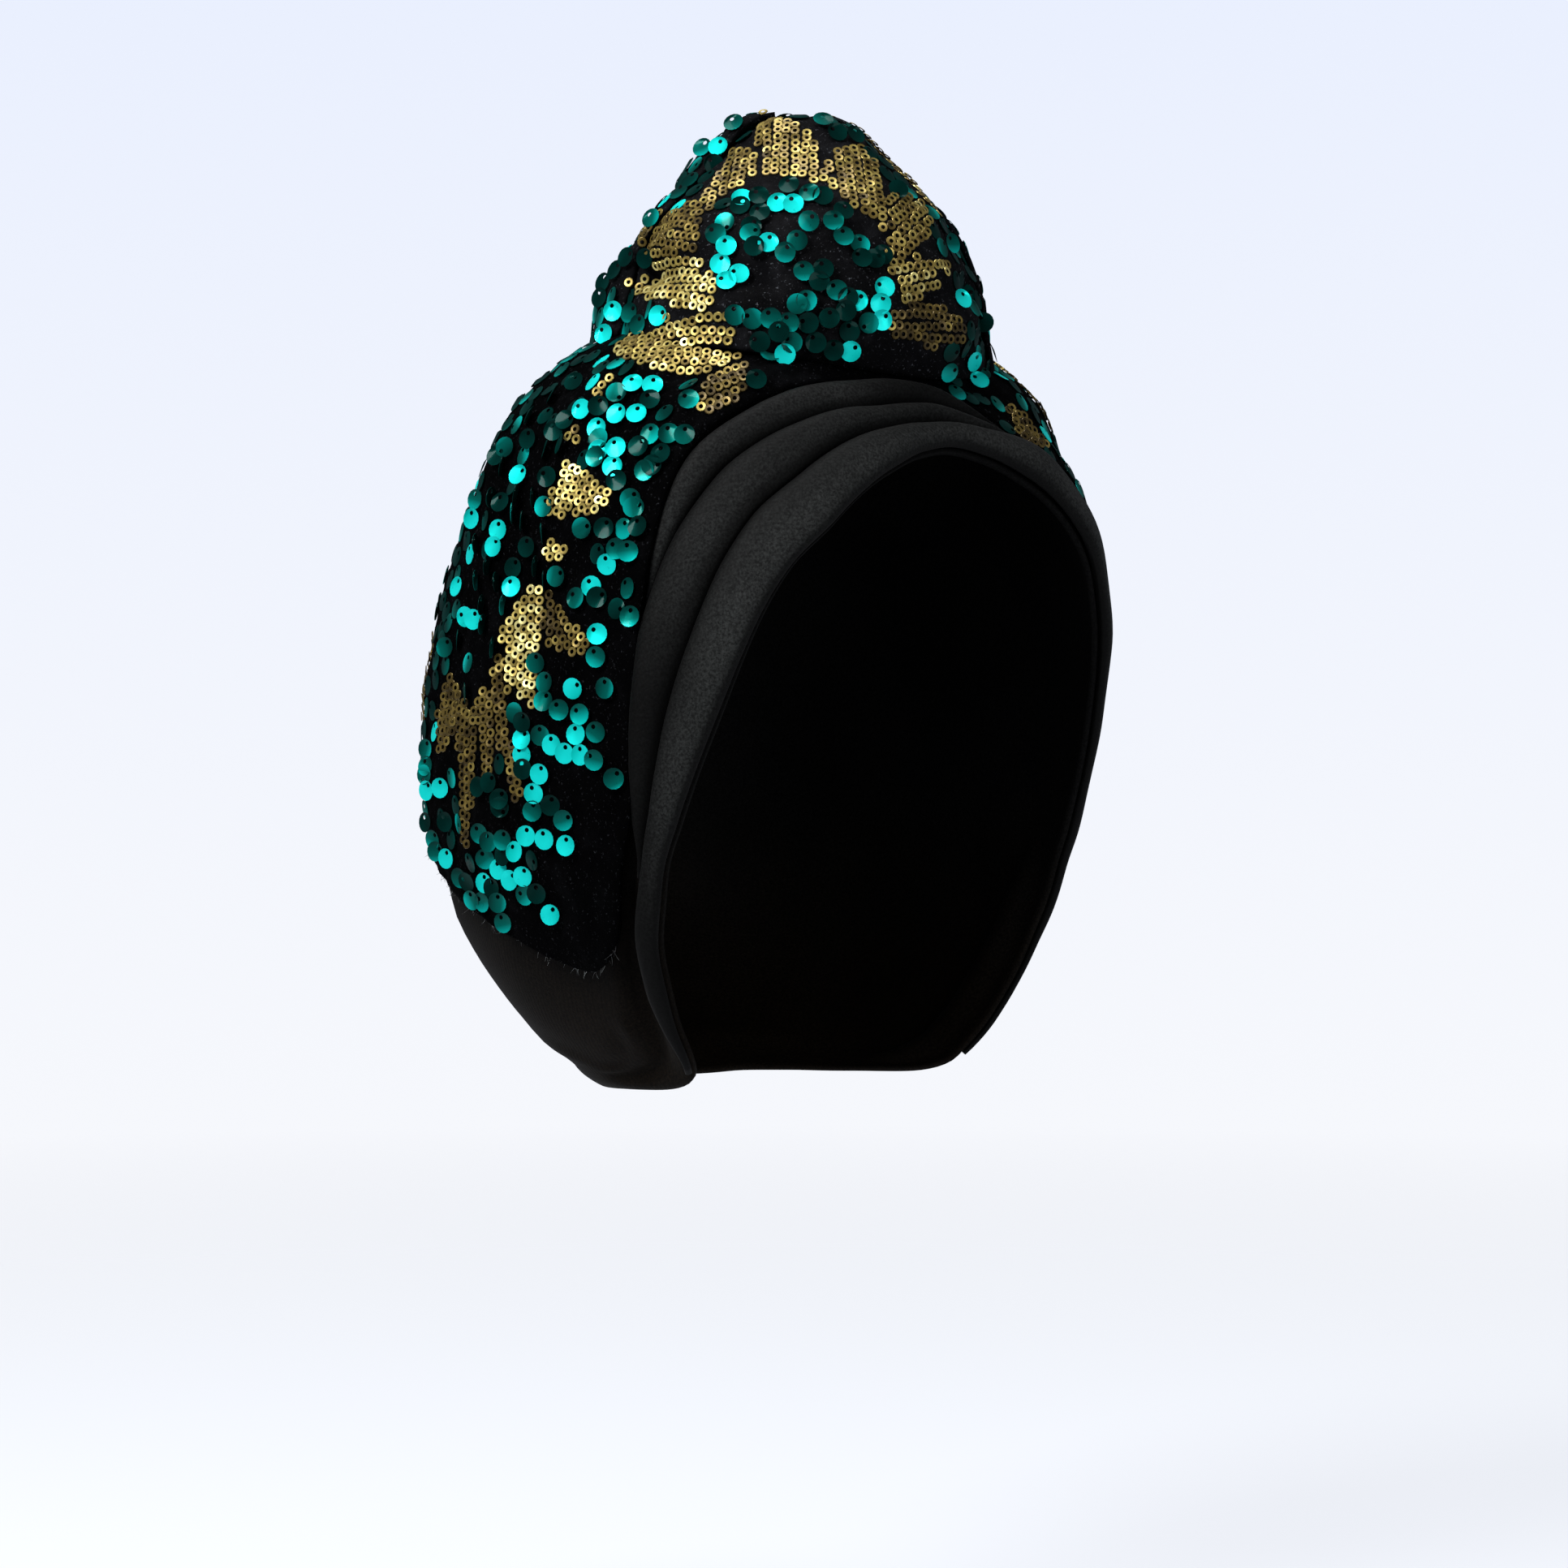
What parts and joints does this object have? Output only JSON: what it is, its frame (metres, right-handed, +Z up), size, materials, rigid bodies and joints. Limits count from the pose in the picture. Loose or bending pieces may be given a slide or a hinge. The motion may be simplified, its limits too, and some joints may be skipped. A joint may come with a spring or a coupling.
{
  "type": "tied gele head tie",
  "caption": "Ready-made head tie: knit hood with a folded band at the face, sequin velvet over crown and back, and a padded knot on top.",
  "frame": {"origin": "where the crown of the head touches the inside of the cap", "axes": "+Z up along the head, the wearer faces -Y, +X is the wearer's left"},
  "size_m": [0.165, 0.1658, 0.259],
  "materials": {
    "cap_knit": "matte black stretch knit",
    "band_knit": "matte black stretch knit with a fine diagonal rib",
    "sequin_velvet": "black velvet sewn with sequins",
    "knot_velvet": "black velvet sewn with sequins, gathered over padding",
    "sequin_teal": "teal cupped sequins, metallic film",
    "sequin_gold": "small flat gold ring sequins, metallic film"
  },
  "bodies": {
    "root": {"inner_cap": "cap_knit", "band_fold_lower": "band_knit", "band_fold_middle": "band_knit", "band_fold_upper": "band_knit", "velvet_overlay": "sequin_velvet", "knot_front": "knot_velvet", "knot_back": "knot_velvet"}
  },
  "joints": []
}
